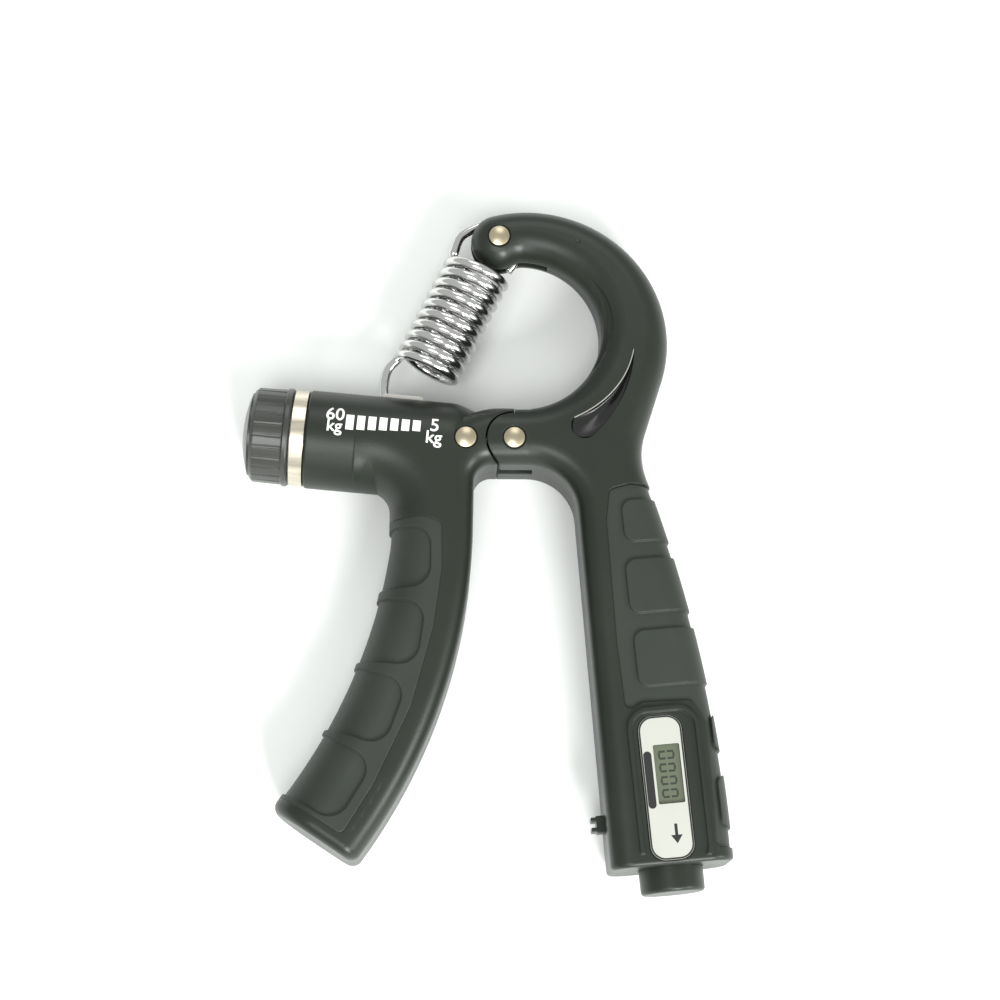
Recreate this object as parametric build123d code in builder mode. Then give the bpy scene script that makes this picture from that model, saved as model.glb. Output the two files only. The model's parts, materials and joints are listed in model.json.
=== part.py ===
"""Adjustable hand grip strengthener: two hinged handles, a hook-shaped arm, a screw-set
tension spring and a squeeze counter.  Millimetres.  The grip lies on its back: +Z is its
thickness, +Y points from the handles to the hook arm, +X from the knob to the palm handle.
Plan coordinates are measured from the hinge axis unless a comment says otherwise."""

from build123d import *
import math
import os

os.makedirs("parts", exist_ok=True)

# ---------------------------------------------------------------- driving dimensions
THICK = 24.0                      # thickness of both handles and diameter of the tube
MID = THICK / 2                   # parting plane of the casings
PIVOT_X, PIVOT_Y = 7.3, 23.9      # hinge axis, measured from the centre of the outline
WALL = 3.6                        # casing wall, which leaves room for the rubber skins
PAD_SKIN = 1.5                    # thickness of the rubber pads
POCKET = 0.6                      # depth of the finger pockets
SEGMENT = 0.6                     # height of the palm segments above the rest of their pad
FIT = 0.05                        # radial clearance of a running fit
GAP = 0.15                        # clearance between parts that only pass each other
HINGE_GAP = 0.45                  # open gap round the knuckle of the hinge
LONG = 200.0                      # longer than anything it has to reach across

# hook arm and palm handle
HOOK_OUTER = (3.5, 26.0, 34.2)    # outer curve: centre x, y, radius
HOOK_INNER = (1.9, 27.8, 19.5)    # inner curve: centre x, y, radius
TIP_R = 6.85                      # rounded tip
TIP_ANGLE = 104.9                 # direction of the tip seen from the outer centre
TIP_HALF = 6.6                    # half thickness of the arm at its top
TAPER_START = 12.0                # height above the hinge where the arm starts to thin
TAPER_BEND = 120.0                # radius of the bend in the faces there
HOOK_ROUND = 6.0                  # edge rounding of hook and palm side
STEP_CURVE = (8.2, 29.5, 16.0)    # outer curve of the crescent step inside the hook
STEP_DEPTH = 0.5
STEP_FROM_MID = 7.0               # the step is cut in the faces, not in the middle of the wall
CROTCH_ROUND = 5.0                # edge rounding of the inner sides
WAIST_ANGLE = -17                 # where the outer curve ends
WAIST = (30.0, -3.5)
WAIST_R = 17.0
PALM_MIDDLE = (44.6, -53.0)
PALM_FOOT = (51.3, -100.4)
PALM_TOE = (22.4, -103.0)
FOOT_ROUND = 1.0
HANDLE_TILT = 5.5                 # palm handle axis from vertical, degrees

# hinge
UNDERSIDE = -5.7
HINGE_TOP = 8.3
HINGE_RUN = 11.0                  # both outlines run on this far past the axis before they are cut
CROTCH = (14.4, UNDERSIDE)
CROTCH_R = 12.0
KNUCKLE_R = 6.5
PLATE_R = 4.6                     # steel hinge plate
PLATE_END_R = 4.2
PLATE_T = 4.0
RIVET_R = 1.8
RIVET_HEAD_R = 2.5
RIVET_HEAD_H = 1.4
LEVER_RIVET = (-11.65, 0.0)

# lever
TUBE_TILT = 5.0                   # tube axis from horizontal, degrees
TUBE_DROP = 2.2                   # tube axis below the hinge axis
TUBE_END = 50.3                   # open end of the tube; u is the distance along its axis
TUBE_BORE = 9.4
BORE_END = 16.4                   # inner end of the bore
NECK_U = (9.0, 16.0)              # where the tube narrows towards the hinge
NECK_R = 9.9
BUSHING_END = 18.3
ROOT_U = 38.0                     # where the flat plate of the lever starts inside the tube
ROOT_DROP = 11.8
SHOULDER = (-8.0, 8.6)
SLOPE_FOOT = (-24.0, 0.0)
ARMPIT = (-29.9, -10.0)
FINGER_TOP = (-30.0, -23.5)
FINGER_MIDDLE = (-38.3, -55.5)
FINGER_FOOT = (-57.4, -88.4)
LEVER_FOOT = (-37.4, -101.6)
LEVER_MIDDLE = (-15.6, -58.5)
LEVER_TOP = (-9.8, -20.0)
LEVER_CROTCH = (-9.6, UNDERSIDE)
FINGER_ROUND = 11.0               # edge rounding on the finger side
LEVER_FOOT_ROUND = 2.5

# adjuster
SLOT_U = (18.6, 43.6)             # slot in the top of the tube
SLOT_W = 4.8
SCREW_R = 3.5
CARRIAGE_U = (22.8, 33.0)
CARRIAGE_PIN = (28.6, 8.9)        # along and above the tube axis
PIN_R = 1.2
HOOK_BEND = 2.8                   # mean radius of the spring's hook round the pin
RING_U = (50.45, 53.6)
RING_R = 11.7
KNOB_U = (54.1, 65.8)
KNOB_R = 12.0
KNOB_RIBS = 26
CAP_R = 10.1
CAP_RIM = 64.0

# spring
WIRE_R = 1.1
COIL_R = 7.4                      # mean radius
COIL_TOP = (-8.2, 46.4)
COIL_FOOT = (-21.6, 19.6)
COIL_TURNS = 12
SLEEVE_R = 2.4
LOOP_SLOT = 3.2

# counter
BEZEL_AT = (36.1, -84.0)
BEZEL_RISE = 0.7
LABEL_AT = (35.2, -84.0)
LABEL_W, LABEL_L, LABEL_R = 10.2, 33.6, 3.5
MODULE_AT = (35.0, -81.2)         # circuit board and its frame
MODULE_L = 31.0
CELL_AT = (35.8, -87.6)
CELL_R, CELL_H = 5.8, 5.4
WINDOW_W, WINDOW_L = 6.2, 13.9
WINDOW_OFFSET = (1.0, 3.1)        # window centre from the label centre, along its own sides
BOARD_Z = 17.0
RESET_AT = (37.0, -101.6)
RESET_R = 7.6
RESET_OUT = 6.0
RESET_PUSH = 1.0
PLUNGER_AT = (21.5, -91.5)

# moulding marks
MARK_R, MARK_DEPTH = 0.5, 0.2
ARM_MARK = (15.8, 50.8)
LEVER_MARK = (-27.0, -5.6)

# screws of the casings
ARM_SCREWS = [(23.3, 44.2), (25.0, 2.0), (28.5, -37.0), (24.3, -70.0)]
LEVER_SCREWS = [(-20.5, -31.0), (-26.5, -60.0), (-38.5, -84.0)]
HIDDEN_SCREWS = [ARM_SCREWS[2]] + LEVER_SCREWS         # covered by the rubber skins
SCREW_SHANK, SCREW_HEAD = 1.2, 2.5
SCREW_SINK, SCREW_HEAD_H = 1.2, 2.0
BOSS_R = 3.0
BOSS_RISE = 2.4                   # casing column above the point of a screw

# ---------------------------------------------------------------- derived frames and points
BASE = Plane(origin=(PIVOT_X, PIVOT_Y, 0))
SIDE = Plane(origin=(PIVOT_X, PIVOT_Y, 0), x_dir=(0, 1, 0), z_dir=(1, 0, 0))
TILT = math.radians(TUBE_TILT)
OUT = Vector(-math.cos(TILT), math.sin(TILT), 0)       # along the tube, away from the hinge
UP = Vector(math.sin(TILT), math.cos(TILT), 0)         # across the tube, towards the spring
TUBE_FOOT = Vector(PIVOT_X, PIVOT_Y, MID) - UP * TUBE_DROP
TUBE_AXIS = Axis(TUBE_FOOT, OUT)
TUBE_SIDE = Plane(origin=TUBE_FOOT, x_dir=OUT, z_dir=(0, 0, -1))
HANDLE = math.radians(HANDLE_TILT)
END_OUT = Vector(math.sin(HANDLE), -math.cos(HANDLE), 0)
END_SIDE = Plane(origin=(PIVOT_X + RESET_AT[0], PIVOT_Y + RESET_AT[1], MID), x_dir=END_OUT, z_dir=(0, 0, -1))
END_AXIS = Axis(END_SIDE.origin, END_OUT)
WALL_TURN = math.atan2(CROTCH[1] - PALM_TOE[1], CROTCH[0] - PALM_TOE[0]) + math.pi / 2
WALL_OUT = Vector(math.cos(WALL_TURN), math.sin(WALL_TURN), 0)
PLUNGER_SIDE = Plane(origin=(PIVOT_X + PLUNGER_AT[0], PIVOT_Y + PLUNGER_AT[1], MID),
                     x_dir=WALL_OUT, z_dir=(0, 0, 1))


def polar(centre, radius, degrees):
    """Point on a circle."""
    angle = math.radians(degrees)
    return (centre[0] + radius * math.cos(angle), centre[1] + radius * math.sin(angle))


def tube_point(u, v):
    """Plan coordinates of a point u along the tube and v above its axis."""
    return local(TUBE_FOOT + OUT * u + UP * v)


def local(point):
    """Plan coordinates of a point of the model."""
    return (point.X - PIVOT_X, point.Y - PIVOT_Y)


def arm_half(y):
    """Half thickness of the arm at a height above the hinge, beyond the bend."""
    slope = (MID - TIP_HALF) / (HOOK_OUTER[1] + HOOK_OUTER[2] - TAPER_START)
    return MID - (y - TAPER_START) * slope


HANGER = polar(HOOK_OUTER, HOOK_OUTER[2] - TIP_R, TIP_ANGLE)
HANGER_FRONT = MID + arm_half(HANGER[1])
COIL_LENGTH = math.hypot(COIL_TOP[0] - COIL_FOOT[0], COIL_TOP[1] - COIL_FOOT[1])
COIL_DOWN = Vector(COIL_FOOT[0] - COIL_TOP[0], COIL_FOOT[1] - COIL_TOP[1], 0).normalized()
COIL_LEFT = Vector(COIL_DOWN.Y, -COIL_DOWN.X, 0)


# ---------------------------------------------------------------- plan outlines
def arm_outline(grow=0.0):
    """Outline of hook arm and palm handle, run on past the hinge."""
    outer, inner = HOOK_OUTER, HOOK_INNER
    waist_start = polar(outer, outer[2], WAIST_ANGLE)
    inner_foot = polar(inner, inner[2], 270)
    # meeting point of the tip circle and the inner curve
    dx, dy = HANGER[0] - inner[0], HANGER[1] - inner[1]
    apart = math.hypot(dx, dy)
    along = (inner[2] ** 2 - TIP_R ** 2 + apart ** 2) / (2 * apart)
    across = math.sqrt(inner[2] ** 2 - along ** 2)
    meet = (inner[0] + (dx * along + dy * across) / apart,
            inner[1] + (dy * along - dx * across) / apart)
    with BuildSketch() as sketch:
        with BuildLine():
            Polyline((-HINGE_RUN, UNDERSIDE), (-HINGE_RUN, inner_foot[1]), inner_foot)
            ThreePointArc(inner_foot, polar(inner, inner[2], 0), meet)
            ThreePointArc(meet, polar(HANGER, TIP_R, 180), polar(outer, outer[2], TIP_ANGLE))
            ThreePointArc(polar(outer, outer[2], TIP_ANGLE), polar(outer, outer[2], 45), waist_start)
            Line(waist_start, WAIST)
            ThreePointArc(WAIST, PALM_MIDDLE, PALM_FOOT)
            Polyline(PALM_FOOT, PALM_TOE, CROTCH, (-HINGE_RUN, UNDERSIDE))
        make_face()
        for corner, radius in ((CROTCH, CROTCH_R), (WAIST, WAIST_R), (meet, 4)):
            fillet(sketch.vertices().sort_by_distance((*corner, 0))[0], radius)
        if grow:
            offset(amount=grow, kind=Kind.INTERSECTION)
    return sketch.sketch


def lever_outline(grow=0.0):
    """Outline of the lever's flat part: hinge, root of the tube and finger handle."""
    with BuildSketch() as sketch:
        with BuildLine():
            Polyline((HINGE_RUN, HINGE_TOP), SHOULDER, SLOPE_FOOT, tube_point(ROOT_U, 0),
                     tube_point(ROOT_U, -ROOT_DROP), ARMPIT, FINGER_TOP)
            ThreePointArc(FINGER_TOP, FINGER_MIDDLE, FINGER_FOOT)
            Line(FINGER_FOOT, LEVER_FOOT)
            ThreePointArc(LEVER_FOOT, LEVER_MIDDLE, LEVER_TOP)
            Polyline(LEVER_TOP, LEVER_CROTCH, (HINGE_RUN, UNDERSIDE), (HINGE_RUN, HINGE_TOP))
        make_face()
        for corner, radius in ((ARMPIT, 6), (LEVER_CROTCH, 4.5), (SHOULDER, 20), (FINGER_TOP, 40)):
            fillet(sketch.vertices().sort_by_distance((*corner, 0))[0], radius)
        if grow:
            offset(amount=grow, kind=Kind.INTERSECTION)
    return sketch.sketch


def accent_outline(grow=0.0):
    """Teardrop inlay beside the hook."""
    with BuildSketch() as shape:
        with BuildLine():
            ThreePointArc((29.0, 22.6), (24.2, 12.2), (14.4, 5.0))
            ThreePointArc((14.4, 5.0), (14.6, 0.9), (18.6, 0.5))
            ThreePointArc((18.6, 0.5), (25.6, 9.6), (29.0, 22.6))
        make_face()
        if grow:
            offset(amount=grow)
    return shape.sketch


def polygon(*corners, radius=0.0):
    """Polygon with rounded corners."""
    with BuildSketch() as shape:
        with BuildLine():
            Polyline(*corners, close=True)
        make_face()
        if radius:
            fillet(shape.vertices(), radius)
    return shape.sketch


def card(centre, width, height, angle=0.0, radius=0.0):
    """Rectangle turned by an angle in degrees, with rounded corners."""
    with BuildSketch() as shape:
        with Locations(Location((centre[0], centre[1], 0), (0, 0, angle))):
            if radius:
                RectangleRounded(width, height, radius)
            else:
                Rectangle(width, height)
    return shape.sketch


def disc(centre, radius):
    """Circle."""
    with BuildSketch() as shape:
        with Locations(centre):
            Circle(radius)
    return shape.sketch


def ring(centre, outer, inner):
    """Circle with a hole."""
    return disc(centre, outer) - disc(centre, inner)


# ---------------------------------------------------------------- solids from outlines
def prism(shape, low=-2.0, high=THICK + 2):
    """Upright prism over an outline."""
    with BuildPart() as body:
        with BuildSketch(BASE.offset(low)):
            add(shape)
        extrude(amount=high - low)
    return body.part


def turned(plane, axis, *rectangles):
    """Body of revolution from rectangles (start, end, inner radius, outer radius)."""
    with BuildPart() as body:
        with BuildSketch(plane):
            for start, end, inner, outer in rectangles:
                with Locations(((start + end) / 2, (inner + outer) / 2)):
                    Rectangle(end - start, outer - inner)
        revolve(axis=axis)
    return body.part


def rims(body):
    """Edges between the front and back faces and the side walls."""
    flats = [face for face in body.faces() if abs(face.normal_at(face.center()).Z) > 0.9]
    edges = [edge for face in flats for edge in face.edges()]
    return [edge for edge in edges if sum(edge.is_same(other) for other in edges) == 1]


def rounded(plate, radii):
    """Round the rims: radii is a list of (test on the plan coordinates of the middle, radius)."""
    for test, radius in radii:
        chosen = [edge for edge in rims(plate) if test(*local(edge @ 0.5))]
        plate = plate.fillet(radius, chosen)
    return plate


def arm_plate(grow=0.0):
    """Arm with square edges, grown or shrunk on every side, thinner towards the tip."""
    reach = 80
    with BuildPart() as body:
        with BuildSketch(BASE.offset(-grow)):
            add(arm_outline(grow))
        extrude(amount=THICK + 2 * grow)
        with BuildSketch(SIDE) as taper:
            with BuildLine():
                Polyline((-LONG, -grow), (TAPER_START, -grow), (reach, MID - arm_half(reach) - grow),
                         (reach, MID + arm_half(reach) + grow), (TAPER_START, THICK + grow),
                         (-LONG, THICK + grow), close=True)
            make_face()
            bends = [v for v in taper.vertices() if abs(v.X - TAPER_START) < 1]
            fillet(bends, TAPER_BEND)
        extrude(amount=LONG, both=True, mode=Mode.INTERSECT)
    return body.part


def crotch_rim(x, y):
    """True on the arm's rims between the hinge and the toe of the palm handle."""
    return -HINGE_RUN + 0.5 < x < 24 and -97 < y < 0


def palm_rim(x, y):
    """True on the arm's rims round the hook and down the palm side."""
    return x > -HINGE_RUN + 0.5 and y > 0 or x > 24 and y > -97


def palm_block(grow):
    """Rounded envelope of the palm handle alone, grown or shrunk on every side."""
    top = 14
    with BuildPart() as body:
        with BuildSketch(BASE.offset(-grow)):
            add(arm_outline(grow))
            with Locations((0, top + LONG / 2)):
                Rectangle(LONG, LONG, mode=Mode.SUBTRACT)
        extrude(amount=THICK + 2 * grow)
    return rounded(body.part, [(lambda x, y: x > 24 and -97 < y < top - 0.5, HOOK_ROUND + grow)])


def lever_plate(grow=0.0, top=LONG):
    """Lever with square edges up to a given height, grown or shrunk on every side."""
    with BuildPart() as body:
        with BuildSketch(BASE.offset(-grow)):
            add(lever_outline(grow))
            with Locations((0, top + LONG / 2)):
                Rectangle(LONG, LONG, mode=Mode.SUBTRACT)
        extrude(amount=THICK + 2 * grow)
    return body.part


def finger_rim(x, y):
    """True on the rims of the finger side, from the tube to the foot."""
    return x < -18 and -93 < y < -8 and x < -20 + 0.32 * (y + 8) - 3 * (y < -60)


def thumb_rim(x, y):
    """True on the rims between the hinge and the foot on the other side."""
    return -90 < y < -4 and -37 < x < HINGE_RUN - 0.5 and not finger_rim(x, y)


def hinge_rim(x, y):
    """True on the upper rims of the lever's hinge."""
    return y > 1 and -30 < x < HINGE_RUN - 0.5


def finger_block(grow):
    """Rounded envelope of the finger handle alone, grown or shrunk on every side."""
    return rounded(lever_plate(grow, -12.5), [(finger_rim, FINGER_ROUND + grow),
                                              (thumb_rim, CROTCH_ROUND + grow)])


def cap_middle(radius, rise):
    """Half-way point (across, up) of a spherical cap whose rim is at height zero."""
    ball = (radius ** 2 + rise ** 2) / (2 * rise)
    return radius / 2, rise - ball + math.sqrt(ball ** 2 - radius ** 2 / 4)


def rivet(name, centre, front):
    """Domed rivet through the whole thickness, its formed end sunk in the back."""
    back = THICK - front
    rim = front - 0.1
    rise = RIVET_HEAD_H - 0.8
    across, up = cap_middle(RIVET_HEAD_R, rise)
    origin = (PIVOT_X + centre[0], PIVOT_Y + centre[1], 0)
    with BuildPart() as body:
        with BuildSketch(Plane(origin=origin, x_dir=(1, 0, 0), z_dir=(0, -1, 0))):
            with BuildLine():
                Polyline((0, back + 0.3), (RIVET_HEAD_R, back + 0.3), (RIVET_HEAD_R, back + 1.2),
                         (RIVET_R, back + 1.2), (RIVET_R, front - 0.9), (RIVET_HEAD_R, front - 0.9),
                         (RIVET_HEAD_R, rim))
                ThreePointArc((RIVET_HEAD_R, rim), (across, rim + up), (0, rim + rise))
                Line((0, rim + rise), (0, back + 0.3))
            make_face()
        revolve(axis=Axis(origin, (0, 0, 1)))
    save(body.part, name)


def rivet_holes(centre, front):
    """Cutter for a rivet: shank hole and both head recesses."""
    back = THICK - front
    return (prism(disc(centre, RIVET_R))
            + prism(disc(centre, RIVET_HEAD_R + 0.35), front - 0.9)
            + prism(disc(centre, RIVET_HEAD_R + 0.1), -2, back + 1.2))


def screw_heights(centre):
    """Underside and top of a casing screw's head, and its point."""
    back = MID - arm_half(max(centre[1], TAPER_START))
    low = back + SCREW_SINK + (PAD_SKIN if centre in HIDDEN_SCREWS else 0)
    return low, low + SCREW_HEAD_H, THICK - back - 5.5


def screw_holes(centre):
    """Cutter for a casing screw, driven from the back."""
    low, high, point = screw_heights(centre)
    return prism(disc(centre, SCREW_SHANK), -2, point) + prism(disc(centre, SCREW_HEAD + GAP), -2, high)


def screw_boss(centre):
    """Column of the casing round a screw."""
    low, high, point = screw_heights(centre)
    return prism(disc(centre, BOSS_R), low, point + BOSS_RISE)


def casing_screws(name, places):
    """Group of identical self-tapping screws with a cross recess."""
    with BuildPart() as body:
        for centre in places:
            low, high, point = screw_heights(centre)
            cross = card(centre, 3.2, 0.7) + card(centre, 0.7, 3.2)
            add(prism(disc(centre, SCREW_HEAD) - cross, low, low + 0.8))
            add(prism(disc(centre, SCREW_HEAD), low + 0.8, high))
            add(prism(disc(centre, SCREW_SHANK), high, point))
    save(body.part, name)


def wire_coil(turns, start_turn, rise, radius, wire, plane):
    """Helical wire on the axis of a plane, from one turn number to the next."""
    path = Helix(pitch=rise, height=turns * rise, radius=radius)
    with BuildPart() as body:
        with BuildSketch(Plane(origin=path @ 0, z_dir=path % 0)):
            Circle(wire)
        sweep(path=path, is_frenet=True)
    return plane.location * Pos(0, 0, start_turn * rise) * body.part


def halves(casing):
    """Front and rear half of a casing, cut at the parting plane."""
    front = split(casing, bisect_by=Plane.XY.offset(MID), keep=Keep.TOP)
    rear = split(casing, bisect_by=Plane.XY.offset(MID), keep=Keep.BOTTOM)
    return front, rear


def save(part, name):
    """Label a finished piece and write it to its own file."""
    part.label = name
    export_step(part, f"parts/{name}.step")


# ---------------------------------------------------------------- hinge
lever_zone = card((0.25 - LONG / 2, 0), LONG, 30) - disc((0, 0), KNUCKLE_R)
notch_zone = card((2.3, HINGE_TOP + 4.5), 4.1, 10)
swing_slot = disc((0, 0), PLATE_R + 0.4) + card((-10, 0), 20, 30) + card((0.8, -6.0), 7.6, 3.0)
plate_outline = (disc((0, 0), PLATE_R) + disc(LEVER_RIVET, PLATE_END_R)
                 + card((LEVER_RIVET[0] / 2, 0), -LEVER_RIVET[0], 2 * PLATE_END_R))

with BuildPart() as hinge_plate:
    with BuildSketch(BASE.offset(MID - PLATE_T / 2)):
        add(plate_outline)
        add(disc((0, 0), RIVET_R + 0.8), mode=Mode.SUBTRACT)
        add(disc(LEVER_RIVET, RIVET_R), mode=Mode.SUBTRACT)
    extrude(amount=PLATE_T)
save(hinge_plate.part, "hinge_plate")

with BuildPart() as pivot_bush:
    with BuildSketch(BASE.offset(MID - PLATE_T / 2)):
        add(ring((0, 0), RIVET_R + 0.8, RIVET_R + FIT))
    extrude(amount=PLATE_T)
save(pivot_bush.part, "pivot_bush")

rivet("pivot_rivet", (0, 0), THICK)
rivet("lever_rivet", LEVER_RIVET, THICK)
rivet("hanger_rivet", HANGER, HANGER_FRONT)

with BuildPart() as hanger_sleeve:
    with BuildSketch(BASE.offset(MID - LOOP_SLOT / 2 + 0.1)):
        add(ring(HANGER, SLEEVE_R, RIVET_R + FIT))
    extrude(amount=LOOP_SLOT - 0.2)
save(hanger_sleeve.part, "hanger_sleeve")

# ---------------------------------------------------------------- arm casing
crescent = disc(STEP_CURVE[:2], STEP_CURVE[2]) - disc(HOOK_INNER[:2], HOOK_INNER[2] - 2)
step_region = disc(HOOK_INNER[:2], HOOK_INNER[2] + 10) & polygon((4, 11), (40, 11), (40, 60), (4, 60))
below_step = arm_plate(-STEP_DEPTH) & prism(step_region)
inner_rims = [edge for edge in rims(below_step)
              if math.dist(local(edge @ 0.5), HOOK_INNER[:2]) < HOOK_INNER[2] + 1]
below_step = below_step.fillet(HOOK_ROUND - STEP_DEPTH, inner_rims)
palm_region = polygon((70, -10.0), (27.5, -11.2), (22.6, -12.6), (21.8, -20.0), (24.0, -50.0), (26.0, -66.5),
                      (30.0, -64.0), (41.5, -63.4), (44.9, -68.0), (46.4, -92.0), (46.6, -97.6), (70, -97.6),
                      radius=1.5)
label_hole = card(LABEL_AT, LABEL_W + 0.4, LABEL_L + 0.4, HANDLE_TILT, LABEL_R + 0.2)
bezel_frame = (card(BEZEL_AT, 17.0, 38.0, HANDLE_TILT, 5.0) - card(BEZEL_AT, 14.8, 35.8, HANDLE_TILT, 3.9)
               - card((40, -110), 60, 21))

with BuildPart() as arm_casing:
    add(rounded(arm_plate(), [(crotch_rim, CROTCH_ROUND), (palm_rim, HOOK_ROUND)]))
    fillet(arm_casing.faces().sort_by(Axis.Y)[0].edges(), FOOT_ROUND)
    add(prism(crescent, MID + STEP_FROM_MID) - below_step, mode=Mode.SUBTRACT)
    add(prism(crescent, -2, MID - STEP_FROM_MID) - below_step, mode=Mode.SUBTRACT)
    add(prism(disc(ARM_MARK, MARK_R), MID) - arm_plate(-MARK_DEPTH), mode=Mode.SUBTRACT)
    add(prism(bezel_frame, MID + 4, THICK + BEZEL_RISE))
    add(prism(palm_region), mode=Mode.SUBTRACT)
    add(palm_block(-PAD_SKIN) & prism(palm_region))
    add(arm_plate(-WALL) - prism(card((0, 0), 34, 34)) - prism(card((-6, 54), 22, 30)), mode=Mode.SUBTRACT)
    add(prism(lever_zone), mode=Mode.SUBTRACT)
    add(prism(notch_zone), mode=Mode.SUBTRACT)
    add(prism(swing_slot, MID - PLATE_T / 2 - 0.1, MID + PLATE_T / 2 + 0.1), mode=Mode.SUBTRACT)
    add(prism(disc((-6.4, 49.3), 9.7) + card((3.5, 48.5), 10, 6), MID - LOOP_SLOT / 2, MID + LOOP_SLOT / 2),
        mode=Mode.SUBTRACT)
    add(prism(accent_outline(0.1)) - arm_plate(-1.5), mode=Mode.SUBTRACT)
    for centre in ARM_SCREWS:
        add(screw_boss(centre))
    for centre in ARM_SCREWS:
        add(screw_holes(centre), mode=Mode.SUBTRACT)
    add(rivet_holes((0, 0), THICK), mode=Mode.SUBTRACT)
    add(rivet_holes(HANGER, HANGER_FRONT), mode=Mode.SUBTRACT)
    add(prism(label_hole, THICK - WALL - 0.1), mode=Mode.SUBTRACT)
    add(turned(END_SIDE, END_AXIS, (-RESET_PUSH - 0.2, 3, 0, RESET_R + GAP), (-8, 0, 0, 2.0 + FIT)),
        mode=Mode.SUBTRACT)
    with BuildSketch(PLUNGER_SIDE.offset(-2.6)):
        with Locations((-2, 0)):
            Rectangle(12, 4.2)
    extrude(amount=5.2, mode=Mode.SUBTRACT)
    with BuildSketch(PLUNGER_SIDE.offset(-9)):
        with Locations((-8.1, 0)):
            Rectangle(0.8, 5)
    extrude(amount=9)
arm_front_shell, arm_rear_shell = halves(arm_casing.part)
save(arm_front_shell, "arm_front_shell")
save(arm_rear_shell, "arm_rear_shell")
casing_screws("arm_screws", ARM_SCREWS)

with BuildPart() as palm_pad:
    add(palm_block(-SEGMENT) & prism(palm_region))
    segments = (card((35.5, -19.6), 19.4, 10.2, HANDLE_TILT, 2.6)
                + card((37.2, -35.4), 21.0, 13.0, HANDLE_TILT, 2.6)
                + card((40.5, -52.6), 24.0, 13.4, HANDLE_TILT, 2.6)
                + card((51.0, -70.0), 9.0, 9.4, HANDLE_TILT, 2.4)
                + card((52.8, -86.5), 10.0, 12.5, HANDLE_TILT, 2.4))
    add(palm_block(0) & prism(segments))
    add(palm_block(-PAD_SKIN), mode=Mode.SUBTRACT)
save(palm_pad.part, "palm_pad")

accent = (prism(accent_outline()) & arm_plate(-0.3)) - arm_plate(-1.5)
for solid, name in zip(accent.solids().sort_by(Axis.Z), ("accent_inlay_rear", "accent_inlay_front")):
    save(solid, name)

# ---------------------------------------------------------------- lever casing
finger_region = polygon((-62, -19.8), (-22.0, -19.3), (-17.4, -21.0), (-17.3, -32.0), (-19.2, -46.0),
                        (-24.3, -65.0), (-33.0, -83.6), (-40.2, -95.2), (-63.6, -80.2), radius=1.5)
pockets = [((-19.9, -29.0), 0, 15.0), ((-22.0, -48.0), -8, 15.6), ((-27.9, -67.2), -20, 16.2),
           ((-37.2, -85.6), -32, 16.8)]

with BuildPart() as lever_casing:
    add(rounded(lever_plate(), [(finger_rim, FINGER_ROUND), (thumb_rim, CROTCH_ROUND),
                                (hinge_rim, HOOK_ROUND)]))
    fillet(lever_casing.faces().sort_by(Axis.Y)[0].edges(), LEVER_FOOT_ROUND)
    with BuildSketch(TUBE_SIDE):
        with BuildLine():
            Polyline((TUBE_END, 0), (TUBE_END, MID - 0.6), (TUBE_END - 0.6, MID), (NECK_U[1], MID))
            Spline((NECK_U[1], MID), (NECK_U[0] + 3, 11.1), (NECK_U[0], NECK_R),
                   tangents=((-1, 0), (-1, -0.4)))
            Polyline((NECK_U[0], NECK_R), (NECK_U[0], 0), (TUBE_END, 0))
        make_face()
    revolve(axis=TUBE_AXIS)
    add(finger_block(-WALL) & prism(card((-30, -60), LONG, 88)), mode=Mode.SUBTRACT)
    add(prism(finger_region), mode=Mode.SUBTRACT)
    add((finger_block(-PAD_SKIN) & prism(finger_region)) - finger_block(-WALL))
    add(turned(TUBE_SIDE, TUBE_AXIS, (BORE_END, TUBE_END + 1, 0, TUBE_BORE)), mode=Mode.SUBTRACT)
    add(prism(disc(LEVER_MARK, MARK_R), THICK - MARK_DEPTH), mode=Mode.SUBTRACT)
    with BuildSketch(TUBE_SIDE.offset(-SLOT_W / 2)):
        with Locations(((SLOT_U[0] + SLOT_U[1]) / 2, MID)):
            RectangleRounded(SLOT_U[1] - SLOT_U[0], MID, 1.0)
    extrude(amount=SLOT_W, mode=Mode.SUBTRACT)
    add(prism(disc((0, 0), KNUCKLE_R + HINGE_GAP) + card((10.05, 0), 20, 30)), mode=Mode.SUBTRACT)
    add(prism(plate_outline, MID - PLATE_T / 2, MID + PLATE_T / 2), mode=Mode.SUBTRACT)
    for centre in LEVER_SCREWS:
        add(screw_boss(centre))
    for centre in LEVER_SCREWS:
        add(screw_holes(centre), mode=Mode.SUBTRACT)
    add(rivet_holes(LEVER_RIVET, THICK), mode=Mode.SUBTRACT)
lever_front_shell, lever_rear_shell = halves(lever_casing.part)
save(lever_front_shell, "lever_front_shell")
save(lever_rear_shell, "lever_rear_shell")
casing_screws("lever_screws", LEVER_SCREWS)

with BuildPart() as finger_pad:
    add(finger_block(0) & prism(finger_region))
    add(finger_block(-PAD_SKIN), mode=Mode.SUBTRACT)
    for tip, angle, height in pockets:
        reach = 22
        centre = polar(tip, -reach / 2, angle)
        add(prism(card(centre, reach, height, angle, 5.0)) - finger_block(-POCKET), mode=Mode.SUBTRACT)
save(finger_pad.part, "finger_pad")

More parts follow.
